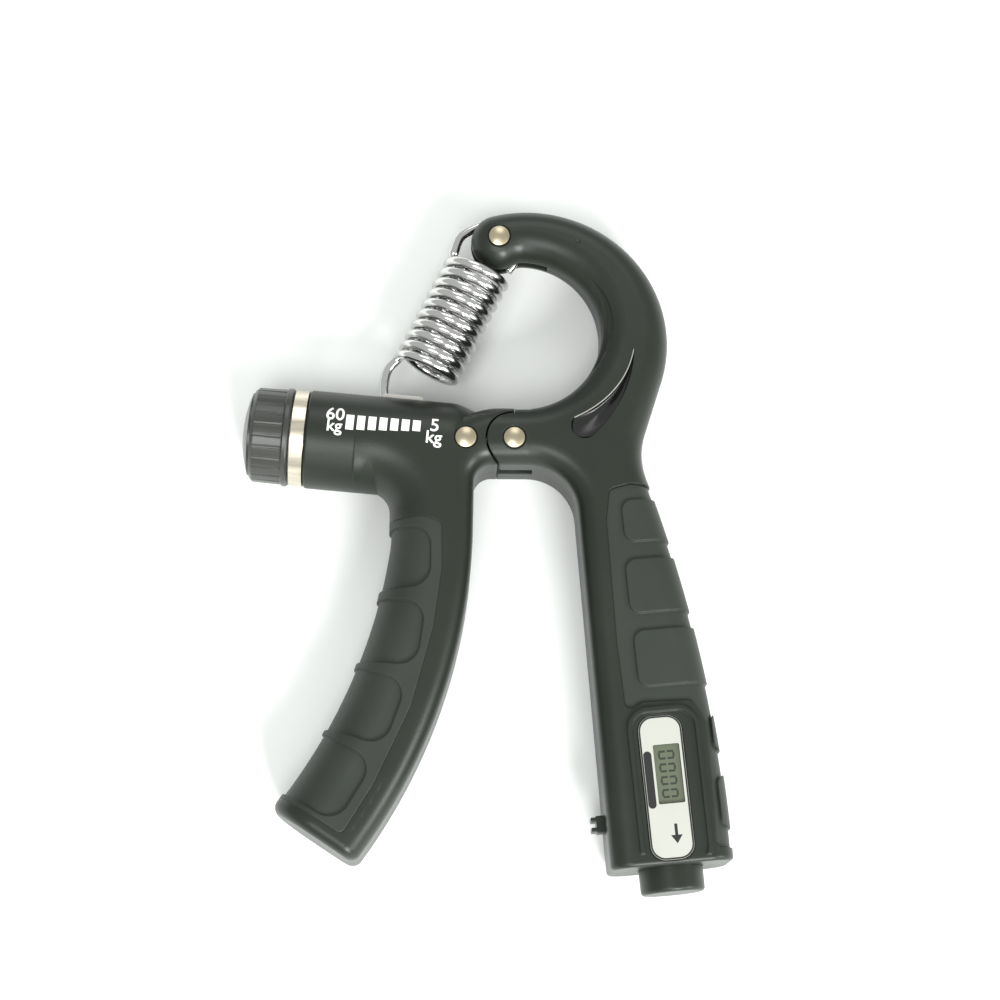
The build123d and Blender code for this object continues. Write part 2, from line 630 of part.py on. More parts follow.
# ---------------------------------------------------------------- adjuster
save(turned(TUBE_SIDE, TUBE_AXIS, (RING_U[0], RING_U[1], SCREW_R + FIT, RING_R),
            (46.0, RING_U[0], SCREW_R + FIT, TUBE_BORE)), "collar_ring")
save(turned(TUBE_SIDE, TUBE_AXIS, (RING_U[1], KNOB_U[0] - 0.05, SCREW_R + FIT, 9.0)), "thrust_washer")
save(turned(TUBE_SIDE, TUBE_AXIS, (BORE_END, BUSHING_END, SCREW_R + FIT, TUBE_BORE)), "screw_bushing")
save(turned(TUBE_SIDE, TUBE_AXIS, (BORE_END + 0.2, 44.9, 0, SCREW_R), (44.9, 45.9, 0, SCREW_R - 0.7),
            (45.9, 61.0, 0, SCREW_R)), "lead_screw")
save(turned(TUBE_SIDE, TUBE_AXIS, (44.95, 45.85, SCREW_R - 0.7, 5.6)), "retaining_clip")

with BuildPart() as adjust_knob:
    with BuildSketch(TUBE_SIDE):
        with BuildLine():
            Polyline((KNOB_U[0], SCREW_R), (KNOB_U[0], KNOB_R - 0.3), (KNOB_U[0] + 0.3, KNOB_R),
                     (KNOB_U[0] + 1.3, KNOB_R), (KNOB_U[0] + 1.6, KNOB_R - 0.4), (62.6, KNOB_R - 0.5),
                     (63.4, KNOB_R - 1.2), (63.4, 10.2), (61.0, 10.2), (61.0, SCREW_R),
                     (KNOB_U[0], SCREW_R))
        make_face()
    revolve(axis=TUBE_AXIS)
    with BuildSketch(Plane(origin=TUBE_FOOT + OUT * (KNOB_U[0] + 1.6), x_dir=(0, 0, 1), z_dir=OUT)):
        with PolarLocations(KNOB_R + 0.15, KNOB_RIBS):
            Circle(0.75)
    extrude(amount=9, mode=Mode.SUBTRACT)
save(adjust_knob.part, "adjust_knob")

cap_across, cap_up = cap_middle(CAP_R, KNOB_U[1] - CAP_RIM)
with BuildPart() as knob_cap:
    with BuildSketch(TUBE_SIDE):
        with BuildLine():
            Polyline((62.4, 0), (62.4, 3.2), (61.0, 3.2), (61.0, CAP_R), (CAP_RIM, CAP_R))
            ThreePointArc((CAP_RIM, CAP_R), (CAP_RIM + cap_up, cap_across), (KNOB_U[1], 0))
            Line((KNOB_U[1], 0), (62.4, 0))
        make_face()
    revolve(axis=TUBE_AXIS)
save(knob_cap.part, "knob_cap")
save(turned(TUBE_SIDE, TUBE_AXIS, (61.0, 62.3, 0, 3.0)), "knob_nut")

slot_half = (SLOT_W - 0.3) / 2
with BuildPart() as carriage:
    add(turned(TUBE_SIDE, TUBE_AXIS, (CARRIAGE_U[0], CARRIAGE_U[1], SCREW_R + FIT, TUBE_BORE - 0.2)))
    with BuildSketch(TUBE_SIDE.offset(-slot_half)):
        with Locations(((CARRIAGE_U[0] + CARRIAGE_U[1]) / 2, 9.4)):
            RectangleRounded(CARRIAGE_U[1] - CARRIAGE_U[0], 6.6, 1.0)
    extrude(amount=2 * slot_half)
    with BuildSketch(TUBE_SIDE.offset(-1.3)):
        with Locations((CARRIAGE_PIN[0] + 1, 12.7)):
            Rectangle(10.6, 16.4)
    extrude(amount=2.6, mode=Mode.SUBTRACT)
    with BuildSketch(TUBE_SIDE.offset(-slot_half)):
        with Locations(CARRIAGE_PIN):
            Circle(PIN_R + FIT)
    extrude(amount=2 * slot_half, mode=Mode.SUBTRACT)
save(carriage.part, "carriage")

with BuildPart() as carriage_pin:
    with BuildSketch(TUBE_SIDE.offset(-slot_half)):
        with Locations(CARRIAGE_PIN):
            Circle(PIN_R)
    extrude(amount=2 * slot_half)
save(carriage_pin.part, "carriage_pin")

# ---------------------------------------------------------------- spring
coil_frame = Plane(origin=(PIVOT_X + COIL_TOP[0], PIVOT_Y + COIL_TOP[1], MID), x_dir=COIL_LEFT,
                   z_dir=COIL_DOWN)
pitch = COIL_LENGTH / COIL_TURNS
third = COIL_TURNS // 3


def bent_wire(points, wire):
    """Wire in the middle plane along a smooth curve."""
    with BuildPart() as body:
        with BuildLine(BASE.offset(MID)) as path:
            Spline(*points)
        with BuildSketch(Plane(origin=path.line @ 0, z_dir=path.line % 0)):
            Circle(wire)
        sweep(path=path.line)
    return body.part


def coil_side(centre, side):
    """Point beside the coil axis, in plan coordinates."""
    return (centre[0] + COIL_LEFT.X * COIL_R * side, centre[1] + COIL_LEFT.Y * COIL_R * side)


pin_point = tube_point(*CARRIAGE_PIN)
upper_loop = bent_wire([coil_side(COIL_TOP, 1), (-12.4, 55.0), (-5.4, 57.6), (-0.2, 54.2), (0.4, 48.6),
                        (-1.4, 45.4)], WIRE_R)
lower_hook = bent_wire([coil_side(COIL_FOOT, 1), (-30.9, 19.6), (-31.7, 14.4),
                        polar(pin_point, HOOK_BEND, 180), polar(pin_point, HOOK_BEND, 270),
                        polar(pin_point, HOOK_BEND, 350)], WIRE_R)
for name, start, hook in (("spring_upper", 0, upper_loop), ("spring_middle", third, None),
                          ("spring_lower", 2 * third, lower_hook)):
    coil = wire_coil(third, start, pitch, COIL_R, WIRE_R, coil_frame)
    save(coil if hook is None else coil + hook, name)

# ---------------------------------------------------------------- counter
window_at = (LABEL_AT[0] + WINDOW_OFFSET[0] * math.cos(HANDLE) - WINDOW_OFFSET[1] * math.sin(HANDLE),
             LABEL_AT[1] + WINDOW_OFFSET[0] * math.sin(HANDLE) + WINDOW_OFFSET[1] * math.cos(HANDLE))
window = card(window_at, WINDOW_W, WINDOW_L, HANDLE_TILT, 0.4)
face_z = THICK - 0.1
save(prism(card(LABEL_AT, LABEL_W, LABEL_L, HANDLE_TILT, LABEL_R) - window, face_z, face_z + 0.3),
     "counter_label")
save(prism(card(LABEL_AT, LABEL_W + 0.2, LABEL_L + 0.2, HANDLE_TILT, LABEL_R + 0.1) - window,
           THICK - WALL - 0.05, face_z)
     + prism(card(MODULE_AT, 12.6, MODULE_L, HANDLE_TILT, 2.0)
             - card(MODULE_AT, 10.2, MODULE_L - 2.4, HANDLE_TILT, 1.0),
             BOARD_Z + 1.2, THICK - WALL - 0.05), "counter_housing")
save(prism(card(window_at, WINDOW_W - 0.1, WINDOW_L - 0.1, HANDLE_TILT, 0.3), BOARD_Z + 1.2, THICK - 0.4),
     "lcd_panel")
save(prism(card(MODULE_AT, 12.6, MODULE_L, HANDLE_TILT, 1.0), BOARD_Z, BOARD_Z + 1.2), "circuit_board")
cell_top = BOARD_Z - 0.2
cell_foot = cell_top - CELL_H
contact_t = 0.3
save(prism(disc(CELL_AT, CELL_R), cell_foot, cell_top), "button_cell")
save(prism(card(CELL_AT, 4.0, 14.0, HANDLE_TILT), cell_foot - contact_t, cell_foot)
     + prism(card(polar(CELL_AT, 6.85, 90 + HANDLE_TILT), 4.0, contact_t, HANDLE_TILT), cell_foot - contact_t,
             BOARD_Z), "battery_contact")

with BuildPart() as count_plunger:
    with BuildSketch(PLUNGER_SIDE.offset(-2.5)):
        with Locations((-1.2, 0)):
            Rectangle(6.4, 4.0)
        with Locations((2.4, 1.2), (2.4, -1.2)):
            Rectangle(1.6, 1.0)
    extrude(amount=5.0)
save(count_plunger.part, "count_plunger")
plunger_frame = Plane(origin=PLUNGER_SIDE.origin - WALL_OUT * 4.8, z_dir=-WALL_OUT)
save(wire_coil(3, 0, 0.9, 1.4, 0.15, plunger_frame), "plunger_spring")

with BuildPart() as reset_knob:
    add(turned(END_SIDE, END_AXIS, (-0.1, RESET_OUT, 0, RESET_R)))
    fillet(reset_knob.edges().filter_by(GeomType.CIRCLE).sort_by(Axis.Y)[0], 0.9)
    add(turned(END_SIDE, END_AXIS, (-0.1, RESET_OUT - 1.6, 0, RESET_R - 1.5)), mode=Mode.SUBTRACT)
save(reset_knob.part, "reset_knob")
save(turned(END_SIDE, END_AXIS, (-5.2, RESET_OUT - 1.6, 0, 2.0), (-4.6, -WALL - 0.1, 0, 3.0)), "reset_stem")
reset_frame = Plane(origin=END_SIDE.origin - END_OUT * (RESET_PUSH - 0.15), z_dir=END_OUT)
save(wire_coil(4, 0, 1.2, 3.4, 0.3, reset_frame), "reset_spring")
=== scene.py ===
import json
import math

import bmesh
import bpy
from mathutils import Matrix, Vector


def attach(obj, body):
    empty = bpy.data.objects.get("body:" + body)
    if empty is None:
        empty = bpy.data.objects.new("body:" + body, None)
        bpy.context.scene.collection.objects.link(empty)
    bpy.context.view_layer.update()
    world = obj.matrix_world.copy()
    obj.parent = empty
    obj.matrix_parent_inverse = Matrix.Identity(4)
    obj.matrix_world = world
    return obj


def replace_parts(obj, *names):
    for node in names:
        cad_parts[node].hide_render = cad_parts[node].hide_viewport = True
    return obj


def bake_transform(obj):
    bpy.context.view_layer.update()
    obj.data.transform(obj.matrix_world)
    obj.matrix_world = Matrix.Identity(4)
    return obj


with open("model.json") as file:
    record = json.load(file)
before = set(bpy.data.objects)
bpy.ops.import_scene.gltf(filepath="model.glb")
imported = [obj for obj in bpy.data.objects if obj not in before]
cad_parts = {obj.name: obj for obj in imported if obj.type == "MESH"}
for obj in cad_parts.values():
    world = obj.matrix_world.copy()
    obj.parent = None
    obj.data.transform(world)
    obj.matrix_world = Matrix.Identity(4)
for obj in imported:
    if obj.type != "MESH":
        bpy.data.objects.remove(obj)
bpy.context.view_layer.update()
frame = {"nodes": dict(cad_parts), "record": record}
nodes = frame["nodes"]

# Lengths are in millimetres, angles in degrees, and plan points are measured from the hinge axis.
MM = 0.001
HINGE_X, HINGE_Y = 7.3, 23.9
MID = 12.0                            # height of the parting plane
THICK = 24.0                          # height of the front face
HANDLE_TILT = 5.5                     # palm handle from vertical
TUBE_TILT = 5.0                       # tube from horizontal
TUBE_R = 12.0
TUBE_DROP = 2.2                       # tube axis below the hinge axis


def spot(x, y, z=MID):
    """Point given in millimetres from the hinge axis."""
    return Vector((x + HINGE_X, y + HINGE_Y, z)) * MM


# ------------------------------------------------------------------ materials
SLOW_CELLS, SLOW_DETAIL = 60.0, 6.0
FINE_DETAIL = 3.0
RAMP_FROM, RAMP_TO = 0.3, 0.7
EDGE_SAMPLES = 6


def material(name, colour, rough, metallic=0.0, grain=0.02, cells=900.0, relief=0.06, coat=0.0,
             stretch=(1, 1, 1), drift=0.25, specular=0.5, ease=0.0):
    """Surface with fine relief and a slow drift in colour.

    cells, grain and relief set how fine, how deep and how strong the relief is. drift is the share by
    which the colour varies, stretch scales the pattern per axis, and ease shades edges as if rounded.
    """
    made = bpy.data.materials.new(name)
    made.use_nodes = True
    tree = made.node_tree
    shader = tree.nodes["Principled BSDF"]
    shader.inputs["Roughness"].default_value = rough
    shader.inputs["Metallic"].default_value = metallic
    shader.inputs["Coat Weight"].default_value = coat
    shader.inputs["Specular IOR Level"].default_value = specular
    place = tree.nodes.new("ShaderNodeTexCoord")
    scale = tree.nodes.new("ShaderNodeMapping")
    scale.inputs["Scale"].default_value = stretch
    tree.links.new(place.outputs["Object"], scale.inputs["Vector"])

    def noise(fineness, detail):
        texture = tree.nodes.new("ShaderNodeTexNoise")
        texture.inputs["Scale"].default_value = fineness
        texture.inputs["Detail"].default_value = detail
        tree.links.new(scale.outputs["Vector"], texture.inputs["Vector"])
        return texture

    slow = noise(SLOW_CELLS, SLOW_DETAIL)
    fine = noise(cells, FINE_DETAIL)
    ramp = tree.nodes.new("ShaderNodeValToRGB")
    for stop, position, share in zip(ramp.color_ramp.elements, (RAMP_FROM, RAMP_TO),
                                     (1 - drift / 2, 1 + drift / 2)):
        stop.position = position
        stop.color = [c * share for c in colour] + [1]
    tree.links.new(slow.outputs["Fac"], ramp.inputs["Fac"])
    tree.links.new(ramp.outputs["Color"], shader.inputs["Base Color"])
    bump = tree.nodes.new("ShaderNodeBump")
    bump.inputs["Strength"].default_value = relief
    bump.inputs["Distance"].default_value = grain * MM
    tree.links.new(fine.outputs["Fac"], bump.inputs["Height"])
    tree.links.new(bump.outputs["Normal"], shader.inputs["Normal"])
    if ease:
        edge = tree.nodes.new("ShaderNodeBevel")
        edge.samples = EDGE_SAMPLES
        edge.inputs["Radius"].default_value = ease * MM
        tree.links.new(edge.outputs["Normal"], bump.inputs["Normal"])
    return made


CASING = material("casing_plastic", (0.014, 0.018, 0.013), 0.36, relief=0.45, grain=0.05, cells=1600,
                  ease=0.5, specular=0.3)
RUBBER = material("pad_rubber", (0.021, 0.026, 0.020), 0.48, relief=0.5, grain=0.06, cells=2200,
                  ease=0.6, specular=0.32)
GLOSS = material("accent_gloss", (0.006, 0.007, 0.006), 0.2, relief=0.05)
# Light grey for the inlay's thin rim wire is a painted highlight: it stands in for the lit edge of the black
# recess.
PAINTED_RIM_HIGHLIGHT = material("painted_highlight_rim", (0.30, 0.30, 0.27), 0.25, relief=0.05)
KNOB = material("knob_plastic", (0.030, 0.032, 0.028), 0.28, relief=0.1, ease=0.3)
RIVET = material("rivet_nickel", (0.47, 0.41, 0.29), 0.34, 1.0, relief=0.15, stretch=(1, 1, 0.1))
STEEL = material("zinc_steel", (0.55, 0.56, 0.57), 0.35, 1.0, relief=0.2)
CHROME = material("spring_chrome", (0.60, 0.60, 0.59), 0.14, 1.0, relief=0.05, drift=0.08)
COLLAR = material("collar_metal", (0.66, 0.61, 0.50), 0.28, 1.0, relief=0.1, stretch=(1, 20, 20))
BRASS = material("bushing_brass", (0.72, 0.56, 0.3), 0.3, 1.0)
LABEL = material("label_film", (0.38, 0.39, 0.35), 0.35, relief=0.1, drift=0.05)
DISPLAY = material("display_glass", (0.085, 0.10, 0.065), 0.25, coat=0.2, relief=0.02, drift=0.08)
BOARD = material("board_mask", (0.03, 0.14, 0.06), 0.3)
ACETAL = material("acetal", (0.6, 0.59, 0.55), 0.4)
INK = material("black_ink", (0.006, 0.006, 0.006), 0.45, relief=0.1)
PRINT = material("white_print", (0.8, 0.81, 0.78), 0.45, relief=0.1, drift=0.06)
DIGIT = material("display_digits", (0.022, 0.025, 0.018), 0.35, relief=0.02)

FINISH = {"casing": CASING, "grip_rubber": RUBBER, "accent": GLOSS, "knob": KNOB, "rivet_steel": RIVET,
          "plain_steel": STEEL, "spring_steel": CHROME, "collar": COLLAR, "bushing": BRASS, "label": LABEL,
          "display": DISPLAY, "board": BOARD, "button": CASING, "bearing_plastic": ACETAL}
slot_of = {part["node"]: part["material_slot"] for part in frame["record"]["subparts"]}
for name, obj in nodes.items():
    obj.data.materials.clear()
    obj.data.materials.append(FINISH[slot_of[name]])


# ------------------------------------------------------------------ pieces
def mesh_from(name, bm):
    """Mesh made from a bmesh, which is freed."""
    mesh = bpy.data.meshes.new(name)
    bm.to_mesh(mesh)
    bm.free()
    return mesh


def piece(name, mesh, finish, body, smooth=True):
    """New object riding on a body, or free when body is None."""
    for face in mesh.polygons:
        face.use_smooth = smooth
    mesh.materials.clear()
    mesh.materials.append(finish)
    obj = bpy.data.objects.new(name, mesh)
    bpy.context.scene.collection.objects.link(obj)
    if body:
        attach(obj, body)
    return obj


# ------------------------------------------------------------------ spring
WIRE_R = 1.2
WIRE_SIDES = 16
COIL_R = 7.4
COIL_TOP, COIL_FOOT = Vector((-8.2, 46.4, 0)), Vector((-21.6, 19.6, 0))
COIL_TURNS = 10
HEAD_TURNS = 3                        # turns that take up the knob's travel; the rest take the squeeze
TURN_STEPS = 40                       # points in a turn
BEND_STEPS = 14                       # points between two given points of an end
DOWN = (COIL_FOOT - COIL_TOP).normalized()
LEFT = Vector((DOWN.y, -DOWN.x, 0))
TOWARDS = DOWN.cross(LEFT)
COIL_LENGTH = (COIL_FOOT - COIL_TOP).length


def coil_point(turns):
    """Point of the helix after a number of turns."""
    angle = 2 * math.pi * turns
    return (COIL_TOP + DOWN * (COIL_LENGTH * turns / COIL_TURNS)
            + (LEFT * math.cos(angle) + TOWARDS * math.sin(angle)) * COIL_R)


def smooth_line(points, steps):
    """Catmull-Rom curve through points, without its last point."""
    padded = [points[0] * 2 - points[1]] + points + [points[-1] * 2 - points[-2]]
    line = []
    for a, b, c, d in zip(padded, padded[1:], padded[2:], padded[3:]):
        for step in range(steps):
            t = step / steps
            line.append(0.5 * (2 * b + (c - a) * t + (2 * a - 5 * b + 4 * c - d) * t ** 2
                               + (3 * b - a - 3 * c + d) * t ** 3))
    return line


def wire(name, line, radius, sides=WIRE_SIDES):
    """Round wire along a line of points, whose heights count from the parting plane."""
    bm = bmesh.new()
    rings = []
    normal = Vector((0, 0, 1))
    for index, point in enumerate(line):
        ahead = line[min(index + 1, len(line) - 1)] - line[max(index - 1, 0)]
        ahead.normalize()
        normal = (normal - ahead * normal.dot(ahead)).normalized()
        side = ahead.cross(normal)
        ring = []
        for k in range(sides):
            angle = 2 * math.pi * k / sides
            offset = (normal * math.cos(angle) + side * math.sin(angle)) * radius
            ring.append(bm.verts.new(spot(*(point + offset + Vector((0, 0, MID))))))
        rings.append(ring)
    for first, second in zip(rings, rings[1:]):
        for k in range(sides):
            bm.faces.new((first[k], first[(k + 1) % sides], second[(k + 1) % sides], second[k]))
    bm.faces.new(reversed(rings[0]))
    bm.faces.new(rings[-1])
    bmesh.ops.recalc_face_normals(bm, faces=bm.faces)
    return mesh_from(name, bm)


def flat(*pairs):
    """Points of the middle plane."""
    return [Vector((x, y, 0)) for x, y in pairs]


tube_tilt = math.radians(TUBE_TILT)
OUT = Vector((-math.cos(tube_tilt), math.sin(tube_tilt), 0))
UP = Vector((math.sin(tube_tilt), math.cos(tube_tilt), 0))
TUBE_FOOT = -UP * TUBE_DROP
PIN_OUT, PIN_UP = 28.6, 8.9           # carriage pin, along the tube and above its axis
PIN = TUBE_FOOT + OUT * PIN_OUT + UP * PIN_UP
HOOK_BEND = 2.8                       # radius of the hook round the pin


def round_pin(degrees):
    """Point of the hook round the carriage pin."""
    angle = math.radians(degrees)
    return PIN + Vector((math.cos(angle), math.sin(angle), 0)) * HOOK_BEND


HANGER_LOOP = flat((-12.4, 55.0), (-5.4, 57.6), (-0.2, 54.2), (0.4, 48.6), (-1.4, 45.4))
HOOK_ENTRY = flat((-30.9, 19.6), (-31.7, 14.4))

loop = smooth_line([coil_point(0)] + HANGER_LOOP, BEND_STEPS)
head_line = list(reversed(loop))[:-1]
head_line += [coil_point(k / TURN_STEPS) for k in range(HEAD_TURNS * TURN_STEPS + 1)]
foot_line = [coil_point(HEAD_TURNS + k / TURN_STEPS) for k in range((COIL_TURNS - HEAD_TURNS) * TURN_STEPS)]
foot_line += smooth_line([coil_point(COIL_TURNS)] + HOOK_ENTRY
                         + [round_pin(180), round_pin(270), round_pin(350)], BEND_STEPS)
head = piece("spring_head_wire", wire("spring_head_wire", head_line, WIRE_R), CHROME, None)
foot = piece("spring_foot_wire", wire("spring_foot_wire", foot_line, WIRE_R), CHROME, None)
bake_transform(head)
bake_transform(foot)
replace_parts(head, "spring_upper")
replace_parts(foot, "spring_middle", "spring_lower")


def shortening(node):
    """Chrome copy of a small spring's mesh, which takes the place of its CAD part."""
    mesh = nodes[node].data.copy()
    mesh.transform(nodes[node].matrix_world)
    coil = piece(node + "_coil", mesh, CHROME, None)
    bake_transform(coil)
    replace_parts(coil, node)


shortening("plunger_spring")
shortening("reset_spring")

# ------------------------------------------------------------------ dished inlay beside the hook
TAPER_FROM, TAPER_TO, TAPER = 5.3, 18.7, 0.112    # the arm's faces bend between these heights
INLAY_DROP = 0.3                      # edge of the inlay below the arm's face
DISH = 0.8                            # sets the depth of the dish
FULL_WIDTH = 3.0                      # the dish has its full depth where the inlay is this wide
TIP = (29.0, 22.6)
NEAR_MIDDLE, NEAR_END = (24.2, 12.2), (14.4, 5.0)
FAR_MIDDLE, FAR_END = (25.6, 9.6), (18.6, 0.5)
END_BULGE = Vector((-1.9, -1.85))     # how far the blunt end bows out
STATIONS, ROWS = 40, 16
RIM_R, RIM_SIDES, RIM_DROP = 0.13, 10, 0.05


def face_height(y):
    """Height of the arm's front face."""
    if y < TAPER_TO:
        return THICK - max(y - TAPER_FROM, 0) ** 2 * TAPER / (2 * (TAPER_TO - TAPER_FROM))
    return THICK - (y - (TAPER_FROM + TAPER_TO) / 2) * TAPER


def arc(start, middle, end, share):
    """Point of a shallow curve through three points of the plan."""
    a, m, b = (Vector(p) for p in (start, middle, end))
    bend = m - (a + b) / 2
    return a.lerp(b, share) + bend * 4 * share * (1 - share)


def dish_depth(share, t, width):
    """Depth below the edge: deepest a quarter of the way across, shallow at the tip and the blunt end."""
    across = DISH * width * 4 * (1 - t) ** 1.5 * t ** 0.5
    return across * min(1, 3 * (1 - share) + 0.25)


bm = bmesh.new()
grid = []
rim_line = []
for i in range(STATIONS + 1):
    share = i / STATIONS
    near = arc(TIP, NEAR_MIDDLE, NEAR_END, share)
    far = arc(TIP, FAR_MIDDLE, FAR_END, share)
    bulge = END_BULGE * share ** 2
    width = min((far - near).length / FULL_WIDTH, 1)
    rim_line.append(Vector((near.x, near.y, face_height(near.y) - MID - RIM_DROP)))
    row = []
    for j in range(ROWS + 1):
        t = j / ROWS
        here = near.lerp(far, t) + bulge * 4 * t * (1 - t)
        depth = INLAY_DROP + dish_depth(share, t, width)
        row.append(bm.verts.new(spot(here.x, here.y, face_height(here.y) - depth)))
    grid.append(row)
for first, second in zip(grid, grid[1:]):
    for j in range(ROWS):
        bm.faces.new((first[j], second[j], second[j + 1], first[j + 1]))
bmesh.ops.remove_doubles(bm, verts=bm.verts, dist=1e-6)
dish = mesh_from("accent_dish", bm)
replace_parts(piece("accent_dish", dish, GLOSS, "palm_handle"), "accent_inlay_front")
# Rim wire in light grey along the near edge of the inlay: a painted highlight on that edge.
piece("accent_rim_highlight", wire("accent_rim_highlight", rim_line, RIM_R, RIM_SIDES), PAINTED_RIM_HIGHLIGHT, "palm_handle")

# ------------------------------------------------------------------ printed scale on the tube
PRINT_LIFT = 0.05
STRIP = 0.35                          # widest strip of print laid flat on the tube's curve
BOLD = 0.05                           # thickening of a figure's strokes


def print_on_tube(name, bm):
    """Lay flat shapes, drawn along and across the tube, on its front.

    Above the tube's axis the print follows the curve. Below it, it lies level with the lever's flat face.
    """
    low = min(v.co.y for v in bm.verts)
    high = max(v.co.y for v in bm.verts)
    cuts = int((high - low) / STRIP) + 1
    for k in range(1, cuts):
        level = low + (high - low) * k / cuts
        geometry = bm.verts[:] + bm.edges[:] + bm.faces[:]
        bmesh.ops.bisect_plane(bm, geom=geometry, plane_co=(0, level, 0), plane_no=(0, 1, 0))
    for vertex in bm.verts:
        place = TUBE_FOOT - OUT * vertex.co.x + UP * vertex.co.y
        height = MID + math.sqrt(TUBE_R ** 2 - max(vertex.co.y, 0) ** 2) + PRINT_LIFT
        vertex.co = spot(place.x, place.y, height)
    return piece(name, mesh_from(name, bm), PRINT, "finger_lever", smooth=False)


def lettering(text, size, u, v):
    """Flat outline of a figure or unit, centred u along and v across the tube."""
    curve = bpy.data.curves.new("figure", "FONT")
    curve.body = text
    curve.size = size
    curve.align_x = "CENTER"
    curve.align_y = "CENTER"
    curve.resolution_u = 6
    curve.offset = BOLD
    holder = bpy.data.objects.new("figure", curve)
    bpy.context.scene.collection.objects.link(holder)
    bpy.context.view_layer.update()
    mesh = bpy.data.meshes.new_from_object(holder.evaluated_get(bpy.context.evaluated_depsgraph_get()))
    bpy.data.objects.remove(holder)
    bm = bmesh.new()
    bm.from_mesh(mesh)
    bmesh.ops.translate(bm, verts=bm.verts, vec=(u, v, 0))
    return bm


HIGH_U, LOW_U = -43.3, -19.3          # the two ends of the scale, along the tube
FIGURES = [                           # name, text, size, place along and across the tube
    ("scale_high", "60", 4.6, HIGH_U, 3.9),
    ("scale_high_unit", "kg", 4.2, HIGH_U, 0.9),
    ("scale_low", "5", 4.7, LOW_U, 3.3),
    ("scale_low_unit", "kg", 4.4, LOW_U, 0.2)]
for name, text, size, u, v in FIGURES:
    print_on_tube(name, lettering(text, size, u, v))

BARS, BAR_PITCH, BAR_W = 7, 2.67, 1.9
BARS_FROM = -40.6
FOOT_FROM, FOOT_RISE = 0.3, 1.15      # lower edge of the first bar, and its rise along the row
TOP_FROM, TOP_RISE = 4.15, 0.15
bars = bmesh.new()
for k in range(BARS):
    left = BARS_FROM + k * BAR_PITCH
    share = k / (BARS - 1)
    foot_v, top_v = FOOT_FROM + FOOT_RISE * share, TOP_FROM + TOP_RISE * share
    bars.faces.new([bars.verts.new(c) for c in ((left, foot_v, 0), (left + BAR_W, foot_v, 0),
                                                (left + BAR_W, top_v, 0), (left, top_v, 0))])
print_on_tube("scale_bars", bars)

# ------------------------------------------------------------------ counter label and display
LABEL_X, LABEL_Y, LABEL_W, LABEL_L, LABEL_R = 35.2, -84.0, 10.2, 33.6, 3.5
INK_HEIGHT = THICK + 0.2 + 0.02       # just above the label's face
LINE_EDGE, LINE_W = 0.05, 0.4         # printed line: its distance from the label's edge, and its width
PILL_U, PILL_V, PILL_W, PILL_L, PILL_R = -3.6, 2.0, 1.9, 13.4, 0.94
ARROW = [(1.6, -8.6), (0.9, -8.6), (0.9, -11.2), (-0.1, -11.2), (1.25, -13.2), (2.6, -11.2), (1.6, -11.2)]
CORNER_STEPS = 8
handle = math.radians(HANDLE_TILT)


def on_label(u, v, z):
    """Point of the label: u across it, v along it, from its centre."""
    return spot(LABEL_X + u * math.cos(handle) - v * math.sin(handle),
                LABEL_Y + u * math.sin(handle) + v * math.cos(handle), z)


def soft_box(u, v, width, length, radius):
    """Outline of a rectangle with rounded corners."""
    corners = [(1, 1, 0), (-1, 1, 90), (-1, -1, 180), (1, -1, 270)]
    outline = []
    for sx, sy, start in corners:
        cx, cy = u + sx * (width / 2 - radius), v + sy * (length / 2 - radius)
        for k in range(CORNER_STEPS + 1):
            angle = math.radians(start + 90 * k / CORNER_STEPS)
            outline.append((cx + radius * math.cos(angle), cy + radius * math.sin(angle)))
    return outline


def inset_box(inset):
    """The label's outline, moved in from its edge."""
    return soft_box(0, 0, LABEL_W - 2 * inset, LABEL_L - 2 * inset, LABEL_R - inset)


def patches(name, outlines, z, finish, hollow=None):
    """Thin printed shapes on the label, or a line between an outline and a smaller one."""
    bm = bmesh.new()
    loops = [[bm.verts.new(on_label(u, v, z)) for u, v in outline] for outline in outlines]
    if hollow:
        inner = [bm.verts.new(on_label(u, v, z)) for u, v in hollow]
        outer = loops[0]
        for k in range(len(outer)):
            after = (k + 1) % len(outer)
            bm.faces.new((outer[k], outer[after], inner[after], inner[k]))
    else:
        for corners in loops:
            bm.faces.new(corners)
    return piece(name, mesh_from(name, bm), finish, "palm_handle", smooth=False)


patches("label_line", [inset_box(LINE_EDGE)], INK_HEIGHT, INK, inset_box(LINE_EDGE + LINE_W))
patches("label_pill", [soft_box(PILL_U, PILL_V, PILL_W, PILL_L, PILL_R)], INK_HEIGHT, INK)
patches("label_arrow", [ARROW], INK_HEIGHT, INK)

DIGITS, DIGIT_PITCH = 4, 3.0
DIGIT_U, DIGIT_V = 0.9, 7.6           # centre of the first figure
DIGIT_W, DIGIT_H, STROKE = 2.1, 3.9, 0.48
DIGIT_HEIGHT = THICK - 0.38
# Place of each stroke across and along a figure, in half sizes, and whether it lies across.
SEGMENTS = ((0, 1, True), (0, -1, True), (-1, 0.5, False), (-1, -0.5, False), (1, 0.5, False), (1, -0.5, False))


def digit_outlines(u, v):
    """Strokes of a figure nought on a seven-segment display, turned on its side."""
    outlines = []
    for side, height, across in SEGMENTS:
        if across:
            width, length = DIGIT_W - 2 * STROKE, STROKE
        else:
            width, length = STROKE, DIGIT_H / 2 - STROKE
        cx = side * (DIGIT_W - STROKE) / 2
        cy = height * ((DIGIT_H - STROKE) / 2 if across else DIGIT_H / 2)
        box = [(cx - width / 2, cy - length / 2), (cx + width / 2, cy - length / 2),
               (cx + width / 2, cy + length / 2), (cx - width / 2, cy + length / 2)]
        outlines.append([(u + y, v - x) for x, y in box])
    return outlines


digits = [outline for k in range(DIGITS) for outline in digit_outlines(DIGIT_U, DIGIT_V - DIGIT_PITCH * k)]
patches("display_digits", digits, DIGIT_HEIGHT, DIGIT)

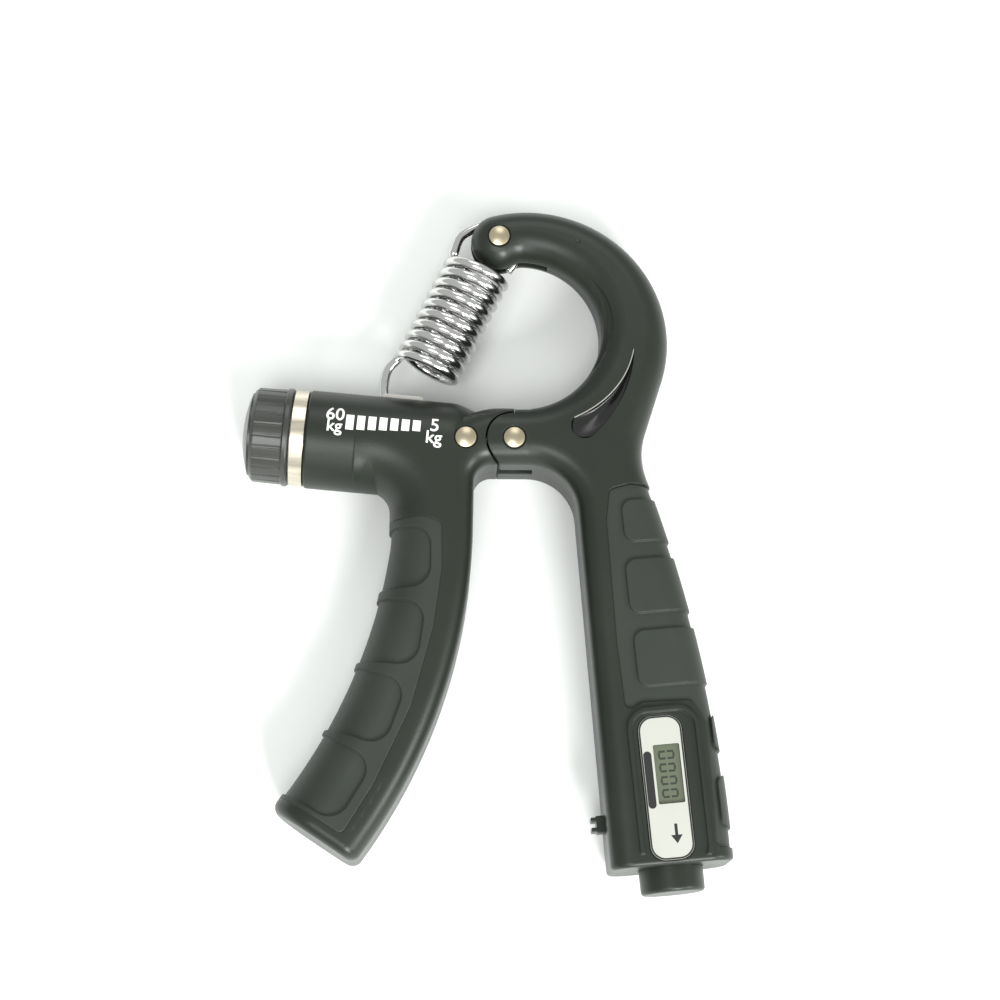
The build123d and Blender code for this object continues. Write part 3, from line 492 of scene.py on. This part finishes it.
# ------------------------------------------------------------------ floor, lights and camera (metres)
FLOOR_DROP = 0.0002
LIGHTS = [                            # name, place, size, power
    ("key", (0.45, -1.3, 0.95), 0.5, 34),
    ("overhead", (-0.3, -0.6, 1.4), 0.7, 11),
    ("side", (1.3, -0.6, 0.7), 0.5, 14),
    ("top", (0.1, 1.3, 1.1), 0.8, 5)]
SKY, SKY_STRENGTH = (0.98, 1.0, 0.985, 1), 0.7
LENS, SENSOR = 93.6, 36.0             # millimetres
EYE = Vector((-11.99, -133.22, 627.27)) * MM
EYE_RIGHT = Vector((0.99966, 0, 0.0262))
EYE_UP = Vector((-0.006, 0.9736, 0.2283))
EYE_BACK = Vector((-0.0255, -0.2284, 0.9732))

PAPER = material("paper", (0.83, 0.85, 0.83), 0.8, relief=0.05, grain=0.05, cells=300, drift=0.01,
                 specular=0.2)
bm = bmesh.new()
bmesh.ops.create_grid(bm, x_segments=8, y_segments=8, size=3.0)
ground = mesh_from("ground", bm)
ground.materials.append(PAPER)
floor = bpy.data.objects.new("floor", ground)
floor.location = (0, 0, -FLOOR_DROP)
bpy.context.scene.collection.objects.link(floor)

for name, place, size, power in LIGHTS:
    lamp = bpy.data.lights.new(name, "AREA")
    lamp.shape = "SQUARE"
    lamp.size = size
    lamp.energy = power
    holder = bpy.data.objects.new(name, lamp)
    holder.location = place
    holder.rotation_euler = Vector(place).to_track_quat("Z", "Y").to_euler()
    bpy.context.scene.collection.objects.link(holder)

world = bpy.data.worlds.new("world")
world.use_nodes = True
world.node_tree.nodes["Background"].inputs["Color"].default_value = SKY
world.node_tree.nodes["Background"].inputs["Strength"].default_value = SKY_STRENGTH
bpy.context.scene.world = world
bpy.context.scene.view_settings.view_transform = "Standard"

camera_data = bpy.data.cameras.new("camera")
camera_data.lens = LENS
camera_data.sensor_width = SENSOR
camera_data.clip_start = 0.05
camera_data.clip_end = 20.0
camera = bpy.data.objects.new("camera", camera_data)
bpy.context.scene.collection.objects.link(camera)
turn = Matrix((EYE_RIGHT, EYE_UP, EYE_BACK)).transposed().to_4x4()
camera.matrix_world = Matrix.Translation(EYE) @ turn
bpy.context.scene.camera = camera
